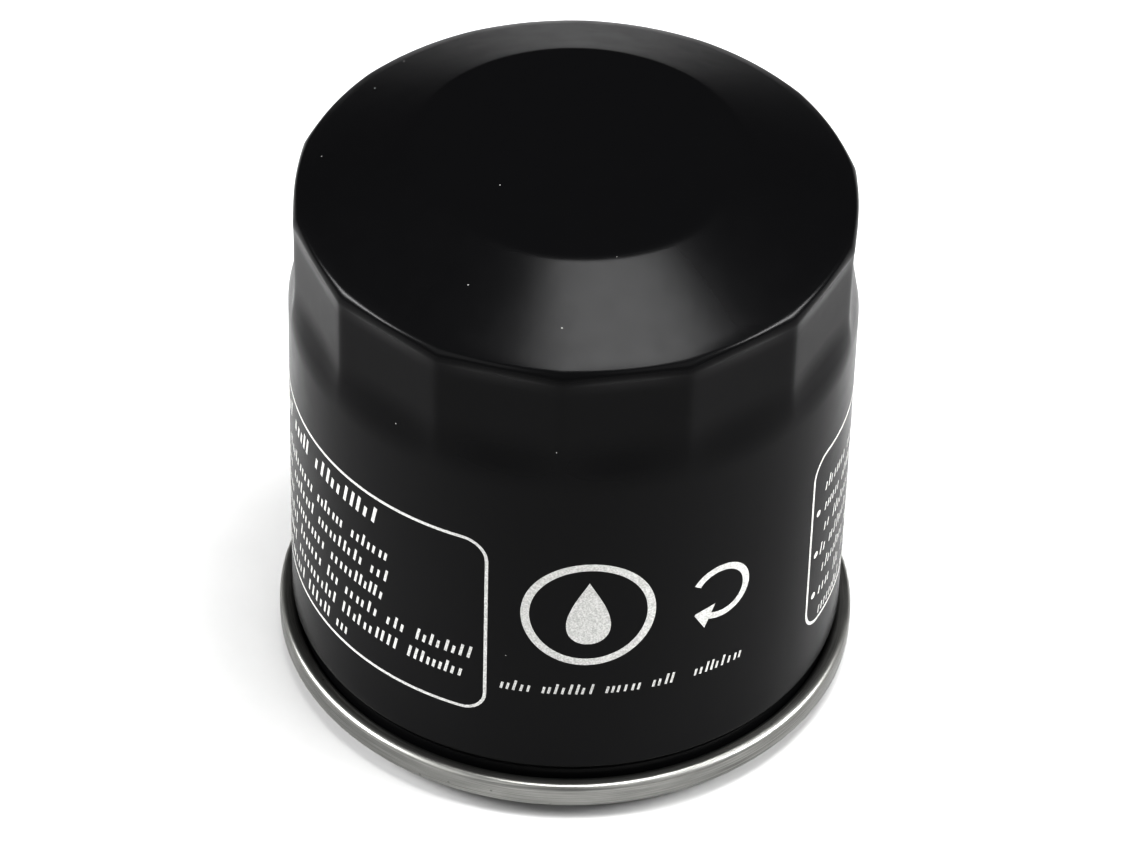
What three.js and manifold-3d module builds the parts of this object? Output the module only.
// Spin-on engine oil filter, standing on its gasket with the domed end up.
// Millimetres, +Z up. The origin is on the axis, in the plane of the gasket's sealing face.
// The front, at -Y, is a corner between two wrench flats.
import * as THREE from "three";
import { mergeVertices } from "three/addons/utils/BufferGeometryUtils.js";
import Module from "manifold-3d";

const wasm = await Module();
wasm.setup();

// Facets round the axis. Four facets of the can make one wrench flat.
const FLATS = 14;
const ROUND = FLATS * 4;
const INNER_ROUND = 36;
const SMALL_ROUND = 24;
const BEND_STEPS = 2;

// Canister: deep-drawn can with a flat top disc, a sloping shoulder and wrench flats.
const BODY_R = 32.5;
const CAN_WALL = 0.55;
const TOP_Z = 71.2;
const DISC_R = 18.6;
const SHOULDER_Z = 65.2;
const CONE_SLOPE = (TOP_Z - SHOULDER_Z) / (BODY_R - DISC_R);
const DISC_BEND = 1.2;
const SHOULDER_BEND = 1.25;
const FLAT_CORNER_R = 32.1;
const FLATS_FULL_Z = 54;
const FLATS_FADE_Z = 50;
const NECK_TOP_Z = 7.2;
const NECK_TAPER = 1;
const NECK_R = 31.85;

// Rolled double seam at the open end, and the lid that makes its outside.
const SEAM_R = 34;
const SEAM_BOTTOM_Z = 1.8;
const SEAM_TOP_Z = 5;
const LID_SHEET = 0.5;
const LID_HOLE_R = 22.5;
const LID_FACE_Z = 3.1;
const CHANNEL_FLOOR_Z = 4.7;
const CHANNEL_IN_R = 27;
const CHANNEL_OUT_R = 30.7;
const RIM_BEND = 0.6;
const RIM_ARCH = 0.65;
const CAN_HOOK_BEND_R = 0.61;
const CAN_HOOK_TURN_Z = 3.3;
const CAN_HOOK_END_Z = 3.95;
const LID_HOOK_R = 32.2;
const LID_HOOK_END_Z = 3.4;
const SEALANT_IN_R = 33.12;
const SEALANT_OUT_R = 33.46;
const SEALANT_Z = [3, 4];

// Gasket of rectangular section with eased edges, proud of the seam.
const GASKET_IN_R = 27.3;
const GASKET_OUT_R = 30.5;
const GASKET_EDGE = 0.45;

// Tapping plate: minor diameter of an M20 x 1.5 thread, and a ring of inlet holes.
const PLATE_THICK = 3;
const PLATE_Z = LID_FACE_Z + LID_SHEET;
const PLATE_R = 31.1;
const PLATE_STEP_R = 26.2;
const PLATE_STEP_RUN = 1.6;
const BORE_R = 9.19;
const BORE_LEAD_IN = 0.9;
const BORE_LEAD_OUT = 0.6;
const BOSS_R = 12.2;
const BOSS_ROOT = 0.8;
const BOSS_EDGE = 0.4;
const BOSS_TOP_Z = 13.2;
const INLETS = 8;
const INLET_R = 2.5;
const INLET_PITCH_R = 17.5;
const INLET_FACETS = 14;

// Anti-drain valve: a collar round the boss, and a skirt that rests on the plate outside the inlets.
const COLLAR_IN_R = BOSS_R + 0.1;
const COLLAR_OUT_R = 14.7;
const COLLAR_LOW_Z = 8.6;
const COLLAR_ROOT_Z = 11;
const SKIRT_UNDER_R = 14.4;
const SKIRT_UNDER_Z = 8.2;
const SKIRT_OVER_R = 15.2;
const SKIRT_OVER_Z = 10;
const LIP_IN_R = 22.4;
const LIP_OUT_R = 23.8;
const LIP_THICK = 0.7;

// Filter element, clamped between the valve's collar and the element spring.
const ELEMENT_Z = 13.4;
const CAP_SHEET = 0.5;
const CAP_R = 29.2;
const CAP_RIM = 3.6;
const LOWER_CAP_HOLE_R = 10;
const LOWER_CAP_COLLAR = 3;
const POTTING = 1;
const MEDIA_TOP_Z = 55.1;
const MEDIA_Z = ELEMENT_Z + CAP_SHEET + POTTING;
const CAP_TOP_Z = MEDIA_TOP_Z + POTTING + CAP_SHEET;
const PLEATS = 40;
const PLEAT_OUT_R = 27.8;
const PLEAT_IN_R = 12.3;
const PAPER = 0.4;
const CLIP_SHEET = 0.35;
const CLIP_LEG = 4;
const CLIP_INSET = 4;
const FIT_GAP = 0.05;
const TUBE_IN_R = 10.6;
const TUBE_OUT_R = 11.1;
const TUBE_HOLE_R = 1.6;
const TUBE_HOLE_ROWS = 4;
const TUBE_HOLES_ROUND = 6;
const TUBE_HOLE_FACETS = 8;
const TUBE_HOLE_MARGIN = 6;

// Relief valve in the upper cap.
const SEAT_BORE_R = 5.2;
const SEAT_NECK_R = 8.2;
const SEAT_FLANGE_R = 11.5;
const SEAT_FLANGE = 0.8;
const SEAT_LEAD_IN = 0.8;
const SEAT_FACE_Z = 53.8;
const POPPET_R = 7.4;
const POPPET_LIP = 0.25;
const POPPET_LIP_HIGH = 0.3;
const SEAL = 0.8;
const SEAL_INSET = 0.3;
const POPPET_PLATE = 0.6;
const STEM_R = 1.5;
const STEM_TIP = 0.5;
const STEM_HEAD_R = 3.8;
const STEM_HEAD = 0.9;
const STEM_HEAD_EDGE = 0.5;
const STEM_END_Z = 38.6;
const CAGE_IN_R = 8.25;
const CAGE_SHEET = 0.5;
const CAGE_Z = 41;
const CAGE_BEND = 0.6;
const CAGE_CLEAR = 0.1;
const GUIDE_GAP = 0.08;
const WINDOW_WIDE = 7;
const WINDOW_Z = [43.2, 51.2];

// Coil springs.
const RELIEF_WIRE_R = 0.45;
const RELIEF_COIL_R = 4.6;
const RELIEF_TURNS = 5;
const ELEMENT_WIRE_R = 0.75;
const ELEMENT_COIL_LOW_R = 18;
const ELEMENT_COIL_HIGH_R = 12.5;
const ELEMENT_TURNS = 3;
const COIL_STEPS = 14;
const WIRE_SIDES = 6;
const TOUCH_GAP = 0.02;

// Points of an outline in the half plane of (radius, height).
function points(...pairs) {
  return pairs.map(([r, z]) => new THREE.Vector2(r, z));
}

// Solid of revolution about +Z. The outline closes on itself, or starts and ends on the axis.
function revolve(outline, facets) {
  const loop = THREE.ShapeUtils.area(outline) > 0 ? outline : [...outline].reverse();
  const onAxis = loop[0].x === 0 && loop[loop.length - 1].x === 0;
  const profile = onAxis ? loop : [...loop, loop[0].clone()];
  return new THREE.LatheGeometry(profile, facets).rotateX(Math.PI / 2);
}

// Closed outline of sheet of even thickness that follows a centre line.
function sheetOutline(line, thickness) {
  const left = [];
  const right = [];
  line.forEach((point, i) => {
    const back = line[Math.max(i - 1, 0)];
    const next = line[Math.min(i + 1, line.length - 1)];
    const arrive = point.clone().sub(back).normalize();
    const leave = next.clone().sub(point).normalize();
    const along = arrive.clone().add(leave).normalize();
    const reference = i === 0 ? leave : arrive;
    const stretch = thickness / 2 / Math.max(along.dot(reference), 0.5);
    const normal = new THREE.Vector2(-along.y, along.x).multiplyScalar(stretch);
    left.push(point.clone().add(normal));
    right.unshift(point.clone().sub(normal));
  });
  return [...left, ...right];
}

// Manifold-3d solid of a closed three.js geometry.
function toSolid(geometry) {
  const bare = geometry.clone().deleteAttribute("normal").deleteAttribute("uv");
  const merged = mergeVertices(bare, 1e-4);
  return new wasm.Manifold(
    new wasm.Mesh({
      numProp: 3,
      vertProperties: merged.getAttribute("position").array,
      triVerts: new Uint32Array(merged.index.array),
    }),
  );
}

// three.js geometry of a manifold-3d solid.
function toGeometry(solid) {
  const mesh = solid.getMesh();
  return new THREE.BufferGeometry()
    .setAttribute("position", new THREE.BufferAttribute(mesh.vertProperties, 3))
    .setIndex(new THREE.BufferAttribute(mesh.triVerts, 1));
}

function cut(geometry, tools) {
  const left = tools.reduce((solid, tool) => solid.subtract(toSolid(tool)), toSolid(geometry));
  return toGeometry(left);
}

// Upright cylinder between two heights, used to drill holes.
function drill(radius, low, high, facets) {
  return new THREE.CylinderGeometry(radius, radius, high - low, facets)
    .rotateX(Math.PI / 2)
    .translate(0, 0, (low + high) / 2);
}

// Presses the wrench flats into the upper wall. They start in the bend below the cone, which stays round,
// and run out down the wall.
function pressFlats(geometry) {
  const position = geometry.getAttribute("position");
  const flatTurn = (2 * Math.PI) / FLATS;
  const flatR = FLAT_CORNER_R * Math.cos(flatTurn / 2);
  const bendLowZ = SHOULDER_Z - SHOULDER_BEND;
  const bendTopZ = SHOULDER_Z + SHOULDER_BEND * CONE_SLOPE;
  for (let i = 0; i < position.count; i += 1) {
    const x = position.getX(i);
    const y = position.getY(i);
    const z = position.getZ(i);
    const radius = Math.hypot(x, y);
    const turn = THREE.MathUtils.euclideanModulo(Math.atan2(x, -y), flatTurn) - flatTurn / 2;
    const onWall = (z - FLATS_FADE_Z) / (FLATS_FULL_Z - FLATS_FADE_Z);
    const onBend = (bendTopZ - z) / (bendTopZ - bendLowZ);
    const pressed = THREE.MathUtils.clamp(Math.min(onWall, onBend), 0, 1);
    const depth = (BODY_R - flatR / Math.cos(turn)) * pressed;
    const scale = radius > 0 ? 1 - depth / radius : 1;
    position.setXY(i, x * scale, y * scale);
  }
  return geometry;
}

function canister() {
  const half = CAN_WALL / 2;
  const wallR = BODY_R - half;
  const neckR = NECK_R - half;
  const topZ = TOP_Z - half;
  const coneZ = (r) => topZ - (r - DISC_R) * CONE_SLOPE;
  const line = new THREE.Path()
    .moveTo(0, topZ)
    .lineTo(DISC_R - DISC_BEND, topZ)
    .quadraticCurveTo(DISC_R, topZ, DISC_R + DISC_BEND, coneZ(DISC_R + DISC_BEND))
    .lineTo(wallR - SHOULDER_BEND, coneZ(wallR - SHOULDER_BEND))
    .quadraticCurveTo(wallR, coneZ(wallR), wallR, coneZ(wallR) - SHOULDER_BEND)
    .lineTo(wallR, FLATS_FULL_Z)
    .lineTo(wallR, FLATS_FADE_Z)
    .lineTo(wallR, NECK_TOP_Z)
    .lineTo(neckR, NECK_TOP_Z - NECK_TAPER)
    .lineTo(neckR, CAN_HOOK_TURN_Z)
    .absarc(neckR + CAN_HOOK_BEND_R, CAN_HOOK_TURN_Z, CAN_HOOK_BEND_R, Math.PI, 2 * Math.PI, false)
    .lineTo(neckR + 2 * CAN_HOOK_BEND_R, CAN_HOOK_END_Z);
  const outline = sheetOutline(line.getPoints(BEND_STEPS), CAN_WALL);
  return pressFlats(revolve(outline, ROUND));
}

function seamLid() {
  const half = LID_SHEET / 2;
  const faceZ = LID_FACE_Z + half;
  const floorZ = CHANNEL_FLOOR_Z + half;
  const innerR = CHANNEL_IN_R - half;
  const chuckR = CHANNEL_OUT_R + half;
  const bottomZ = SEAM_BOTTOM_Z + half;
  const outerR = SEAM_R - half;
  const archR = (outerR - LID_HOOK_R) / 2;
  const archZ = SEAM_TOP_Z - half - RIM_ARCH;
  const line = new THREE.Path()
    .moveTo(LID_HOLE_R, faceZ)
    .lineTo(innerR, faceZ)
    .lineTo(innerR, floorZ)
    .lineTo(chuckR, floorZ)
    .lineTo(chuckR, bottomZ)
    .lineTo(outerR - RIM_BEND, bottomZ)
    .quadraticCurveTo(outerR, bottomZ, outerR, bottomZ + RIM_BEND)
    .lineTo(outerR, archZ)
    .absellipse(outerR - archR, archZ, archR, RIM_ARCH, 0, Math.PI, false, 0)
    .lineTo(LID_HOOK_R, LID_HOOK_END_Z);
  const outline = sheetOutline(line.getPoints(BEND_STEPS), LID_SHEET);
  return revolve(outline, ROUND);
}

// Plain ring of rectangular section.
function ring(innerR, outerR, low, high, facets) {
  return revolve(points([innerR, low], [outerR, low], [outerR, high], [innerR, high]), facets);
}

function seamSealant() {
  return ring(SEALANT_IN_R, SEALANT_OUT_R, ...SEALANT_Z, ROUND);
}

function sealingGasket() {
  const e = GASKET_EDGE;
  const top = CHANNEL_FLOOR_Z;
  return revolve(
    points(
      [GASKET_IN_R + e, 0],
      [GASKET_OUT_R - e, 0],
      [GASKET_OUT_R, e],
      [GASKET_OUT_R, top - e],
      [GASKET_OUT_R - e, top],
      [GASKET_IN_R + e, top],
      [GASKET_IN_R, top - e],
      [GASKET_IN_R, e],
    ),
    ROUND,
  );
}

function basePlate() {
  const low = PLATE_Z;
  const step = CHANNEL_FLOOR_Z + LID_SHEET;
  const high = low + PLATE_THICK;
  const outline = points(
    [BORE_R + BORE_LEAD_IN, low],
    [PLATE_STEP_R, low],
    [PLATE_STEP_R, step],
    [PLATE_R, step],
    [PLATE_R, step + PLATE_THICK],
    [PLATE_STEP_R, step + PLATE_THICK],
    [PLATE_STEP_R - PLATE_STEP_RUN, high],
    [BOSS_R + BOSS_ROOT, high],
    [BOSS_R, high + BOSS_ROOT],
    [BOSS_R, BOSS_TOP_Z - BOSS_EDGE],
    [BOSS_R - BOSS_EDGE, BOSS_TOP_Z],
    [BORE_R + BORE_LEAD_OUT, BOSS_TOP_Z],
    [BORE_R, BOSS_TOP_Z - BORE_LEAD_OUT],
    [BORE_R, low + BORE_LEAD_IN],
  );
  const holes = [];
  for (let i = 0; i < INLETS; i += 1) {
    const turn = ((i + 0.5) * 2 * Math.PI) / INLETS;
    const hole = drill(INLET_R, low - 1, high + 1, INLET_FACETS);
    hole.translate(INLET_PITCH_R * Math.cos(turn), INLET_PITCH_R * Math.sin(turn), 0);
    holes.push(hole);
  }
  return cut(revolve(outline, INNER_ROUND), holes);
}

function antiDrainValve() {
  const plateTop = PLATE_Z + PLATE_THICK;
  return revolve(
    points(
      [COLLAR_IN_R, COLLAR_LOW_Z],
      [SKIRT_UNDER_R, SKIRT_UNDER_Z],
      [LIP_IN_R, plateTop],
      [LIP_OUT_R, plateTop],
      [LIP_OUT_R, plateTop + LIP_THICK],
      [SKIRT_OVER_R, SKIRT_OVER_Z],
      [COLLAR_OUT_R, COLLAR_ROOT_Z],
      [COLLAR_OUT_R, ELEMENT_Z],
      [COLLAR_IN_R, ELEMENT_Z],
    ),
    INNER_ROUND,
  );
}

// Stamped cap: a flat plate with its outer rim turned over the paper. The inner points come first.
function endCap(innerLine, plateZ, rimZ) {
  const rimR = CAP_R - CAP_SHEET / 2;
  const line = [...innerLine, ...points([rimR, plateZ], [rimR, rimZ])];
  return revolve(sheetOutline(line, CAP_SHEET), INNER_ROUND);
}

// The lower cap's hole has a collar that goes up inside the tube.
function lowerEndCap() {
  const plateZ = ELEMENT_Z + CAP_SHEET / 2;
  const collarR = LOWER_CAP_HOLE_R + CAP_SHEET / 2;
  const inner = points([collarR, ELEMENT_Z + LOWER_CAP_COLLAR], [collarR, plateZ]);
  return endCap(inner, plateZ, ELEMENT_Z + CAP_RIM);
}

// The upper cap has a plain hole, which the relief valve's seat is riveted into.
function upperEndCap() {
  const plateZ = CAP_TOP_Z - CAP_SHEET / 2;
  return endCap(points([SEAT_NECK_R + 4 * FIT_GAP, plateZ]), plateZ, CAP_TOP_Z - CAP_RIM);
}

function pottingDisc(low) {
  const innerR = TUBE_OUT_R + 4 * FIT_GAP;
  const outerR = CAP_R - CAP_SHEET - 5 * FIT_GAP;
  return ring(innerR, outerR, low, low + POTTING, INNER_ROUND);
}

// One side of the folded paper: a star outline whose pleats have radial walls and narrow flat folds.
function pleatOutline(side) {
  const outline = [];
  const pitch = (2 * Math.PI) / PLEATS;
  const grow = (side * PAPER) / 2;
  for (let i = 0; i < PLEATS; i += 1) {
    for (const wall of [-1, 1]) {
      const ends = wall < 0 ? [PLEAT_IN_R, PLEAT_OUT_R] : [PLEAT_OUT_R, PLEAT_IN_R];
      for (const radius of ends) {
        const turn = i * pitch + wall * (pitch / 4 + grow / radius);
        const r = radius + grow;
        outline.push(new THREE.Vector2(r * Math.cos(turn), r * Math.sin(turn)));
      }
    }
  }
  return outline;
}

function filterMedia() {
  const shape = new THREE.Shape(pleatOutline(1));
  shape.holes.push(new THREE.Path(pleatOutline(-1)));
  const depth = MEDIA_TOP_Z - MEDIA_Z;
  return new THREE.ExtrudeGeometry(shape, { depth, bevelEnabled: false }).translate(0, 0, MEDIA_Z);
}

// Folded clip over the first pleat, where the two ends of the paper meet.
function mediaSeamClip() {
  const halfIn = PLEAT_OUT_R * Math.sin(Math.PI / 2 / PLEATS) + PAPER / 2 + FIT_GAP;
  const halfOut = halfIn + CLIP_SHEET;
  const tipR = PLEAT_OUT_R + PAPER / 2 + FIT_GAP;
  const legR = tipR - CLIP_LEG;
  const shape = new THREE.Shape(
    points(
      [legR, -halfOut],
      [tipR + CLIP_SHEET, -halfOut],
      [tipR + CLIP_SHEET, halfOut],
      [legR, halfOut],
      [legR, halfIn],
      [tipR, halfIn],
      [tipR, -halfIn],
      [legR, -halfIn],
    ),
  );
  const low = MEDIA_Z + CLIP_INSET;
  const depth = MEDIA_TOP_Z - CLIP_INSET - low;
  return new THREE.ExtrudeGeometry(shape, { depth, bevelEnabled: false }).translate(0, 0, low);
}

// Each drill goes through both walls, so half of them open a whole row.
function centerTube() {
  const low = ELEMENT_Z + CAP_SHEET;
  const high = MEDIA_TOP_Z + POTTING;
  const span = high - low - 2 * TUBE_HOLE_MARGIN;
  const holes = [];
  for (let row = 0; row < TUBE_HOLE_ROWS; row += 1) {
    const z = low + TUBE_HOLE_MARGIN + (row * span) / (TUBE_HOLE_ROWS - 1);
    for (let i = 0; i < TUBE_HOLES_ROUND / 2; i += 1) {
      const turn = ((i + (row % 2) / 2) * 2 * Math.PI) / TUBE_HOLES_ROUND;
      const length = 3 * TUBE_OUT_R;
      const through = new THREE.CylinderGeometry(TUBE_HOLE_R, TUBE_HOLE_R, length, TUBE_HOLE_FACETS);
      holes.push(through.rotateZ(turn).translate(0, 0, z));
    }
  }
  return cut(ring(TUBE_IN_R, TUBE_OUT_R, low, high, INNER_ROUND), holes);
}

function bypassSeat() {
  const flangeZ = CAP_TOP_Z;
  return revolve(
    points(
      [SEAT_BORE_R, SEAT_FACE_Z],
      [SEAT_NECK_R, SEAT_FACE_Z],
      [SEAT_NECK_R, flangeZ],
      [SEAT_FLANGE_R, flangeZ],
      [SEAT_FLANGE_R, flangeZ + SEAT_FLANGE],
      [SEAT_BORE_R + SEAT_LEAD_IN, flangeZ + SEAT_FLANGE],
      [SEAT_BORE_R, flangeZ],
    ),
    SMALL_ROUND,
  );
}

function bypassSeal() {
  const innerR = STEM_HEAD_R + 2 * FIT_GAP;
  return ring(innerR, POPPET_R - SEAL_INSET, SEAT_FACE_Z - SEAL, SEAT_FACE_Z, SMALL_ROUND);
}

// Shallow dished plate, pierced for the stem.
function bypassDisc() {
  const high = SEAT_FACE_Z - SEAL;
  const low = high - POPPET_PLATE;
  const lipZ = high + POPPET_LIP_HIGH;
  return revolve(
    points(
      [STEM_R + FIT_GAP, low],
      [POPPET_R - POPPET_LIP, low],
      [POPPET_R, low + POPPET_LIP],
      [POPPET_R, lipZ],
      [POPPET_R - POPPET_LIP, lipZ],
      [POPPET_R - POPPET_LIP, high],
      [STEM_R + FIT_GAP, high],
    ),
    SMALL_ROUND,
  );
}

function bypassStem() {
  const headZ = SEAT_FACE_Z - SEAL;
  return revolve(
    points(
      [0, STEM_END_Z],
      [STEM_R - STEM_TIP, STEM_END_Z],
      [STEM_R, STEM_END_Z + STEM_TIP],
      [STEM_R, headZ],
      [STEM_HEAD_R, headZ],
      [STEM_HEAD_R, headZ + STEM_HEAD - STEM_HEAD_EDGE],
      [STEM_HEAD_R - STEM_HEAD_EDGE, headZ + STEM_HEAD],
      [0, headZ + STEM_HEAD],
    ),
    SMALL_ROUND,
  );
}

function bypassCage() {
  const outR = CAGE_IN_R + CAGE_SHEET;
  const guideR = STEM_R + GUIDE_GAP;
  const floorZ = CAGE_Z + CAGE_SHEET;
  const top = CAP_TOP_Z - CAP_SHEET - CAGE_CLEAR;
  const cup = revolve(
    points(
      [guideR, CAGE_Z],
      [outR - CAGE_BEND, CAGE_Z],
      [outR, CAGE_Z + CAGE_BEND],
      [outR, top],
      [CAGE_IN_R, top],
      [CAGE_IN_R, floorZ + CAGE_BEND - CAGE_SHEET / 2],
      [CAGE_IN_R - CAGE_BEND + CAGE_SHEET / 2, floorZ],
      [guideR, floorZ],
    ),
    SMALL_ROUND,
  );
  const [low, high] = WINDOW_Z;
  const slot = new THREE.BoxGeometry(3 * outR, WINDOW_WIDE, high - low);
  slot.translate(0, 0, (low + high) / 2);
  return cut(cup, [slot, slot.clone().rotateZ(Math.PI / 2)]);
}

// Centre line of a coil that climbs from one height to another while its radius changes.
class Coil extends THREE.Curve {
  constructor(lowR, highR, lowZ, highZ, turns) {
    super();
    Object.assign(this, { lowR, highR, lowZ, highZ, turns });
  }

  getPoint(t, target = new THREE.Vector3()) {
    const radius = THREE.MathUtils.lerp(this.lowR, this.highR, t);
    const angle = t * this.turns * 2 * Math.PI;
    const z = THREE.MathUtils.lerp(this.lowZ, this.highZ, t);
    return target.set(radius * Math.cos(angle), radius * Math.sin(angle), z);
  }
}

function wireAlong(coil, wireR) {
  const section = new THREE.Shape();
  for (let i = 0; i < WIRE_SIDES; i += 1) {
    const turn = (i * 2 * Math.PI) / WIRE_SIDES;
    const go = i === 0 ? "moveTo" : "lineTo";
    section[go](wireR * Math.cos(turn), wireR * Math.sin(turn));
  }
  const steps = Math.round(coil.turns * COIL_STEPS);
  return new THREE.ExtrudeGeometry(section, { steps, extrudePath: coil });
}

function bypassSpring() {
  const low = CAGE_Z + CAGE_SHEET + RELIEF_WIRE_R + TOUCH_GAP;
  const high = SEAT_FACE_Z - SEAL - POPPET_PLATE - RELIEF_WIRE_R - TOUCH_GAP;
  return wireAlong(new Coil(RELIEF_COIL_R, RELIEF_COIL_R, low, high, RELIEF_TURNS), RELIEF_WIRE_R);
}

function elementSpring() {
  const low = CAP_TOP_Z + ELEMENT_WIRE_R + TOUCH_GAP;
  const high = TOP_Z - CAN_WALL - ELEMENT_WIRE_R - TOUCH_GAP;
  const coil = new Coil(ELEMENT_COIL_LOW_R, ELEMENT_COIL_HIGH_R, low, high, ELEMENT_TURNS);
  return wireAlong(coil, ELEMENT_WIRE_R);
}

// Finishes: sRGB colour, roughness and metalness.
function finish(color, roughness, metalness) {
  return new THREE.MeshStandardMaterial({ color, roughness, metalness });
}
const blackPaint = () => finish(0x0d0d0e, 0.32, 0);
const zincPlate = () => finish(0xa9aaa6, 0.36, 1);
const steelPlate = () => finish(0x8b8a86, 0.42, 1);
const tinPlate = () => finish(0x9fa09c, 0.35, 1);
const springSteel = () => finish(0x6f6e6b, 0.35, 1);
const blackRubber = () => finish(0x141414, 0.7, 0);
const sealRubber = () => finish(0x6a2c1d, 0.65, 0);
const paper = () => finish(0xd9c08a, 0.9, 0);
const potting = () => finish(0xb9a98a, 0.6, 0);
const compound = () => finish(0x59605c, 0.8, 0);

// The four bodies. The valve's skirt and the element each move in the housing, the poppet in the element.
const housing = new THREE.Group();
const valveSkirt = new THREE.Group();
const element = new THREE.Group();
const poppet = new THREE.Group();
const filter = new THREE.Group();
element.add(poppet);
housing.add(valveSkirt, element);
filter.add(housing);

function place(group, name, geometry, material) {
  const mesh = new THREE.Mesh(geometry, material);
  mesh.name = name;
  group.add(mesh);
}

place(housing, "canister", canister(), blackPaint());
place(housing, "seam_lid", seamLid(), zincPlate());
place(housing, "seam_sealant", seamSealant(), compound());
place(housing, "sealing_gasket", sealingGasket(), blackRubber());
place(housing, "base_plate", basePlate(), steelPlate());
place(valveSkirt, "anti_drain_valve", antiDrainValve(), sealRubber());
place(housing, "element_spring", elementSpring(), springSteel());

place(element, "lower_end_cap", lowerEndCap(), tinPlate());
place(element, "upper_end_cap", upperEndCap(), tinPlate());
place(element, "lower_potting", pottingDisc(ELEMENT_Z + CAP_SHEET), potting());
place(element, "upper_potting", pottingDisc(MEDIA_TOP_Z), potting());
place(element, "filter_media", filterMedia(), paper());
place(element, "media_seam_clip", mediaSeamClip(), tinPlate());
place(element, "center_tube", centerTube(), tinPlate());
place(element, "bypass_seat", bypassSeat(), tinPlate());
place(element, "bypass_cage", bypassCage(), tinPlate());
place(element, "bypass_spring", bypassSpring(), springSteel());

place(poppet, "bypass_disc", bypassDisc(), tinPlate());
place(poppet, "bypass_seal", bypassSeal(), blackRubber());
place(poppet, "bypass_stem", bypassStem(), steelPlate());

export default filter;
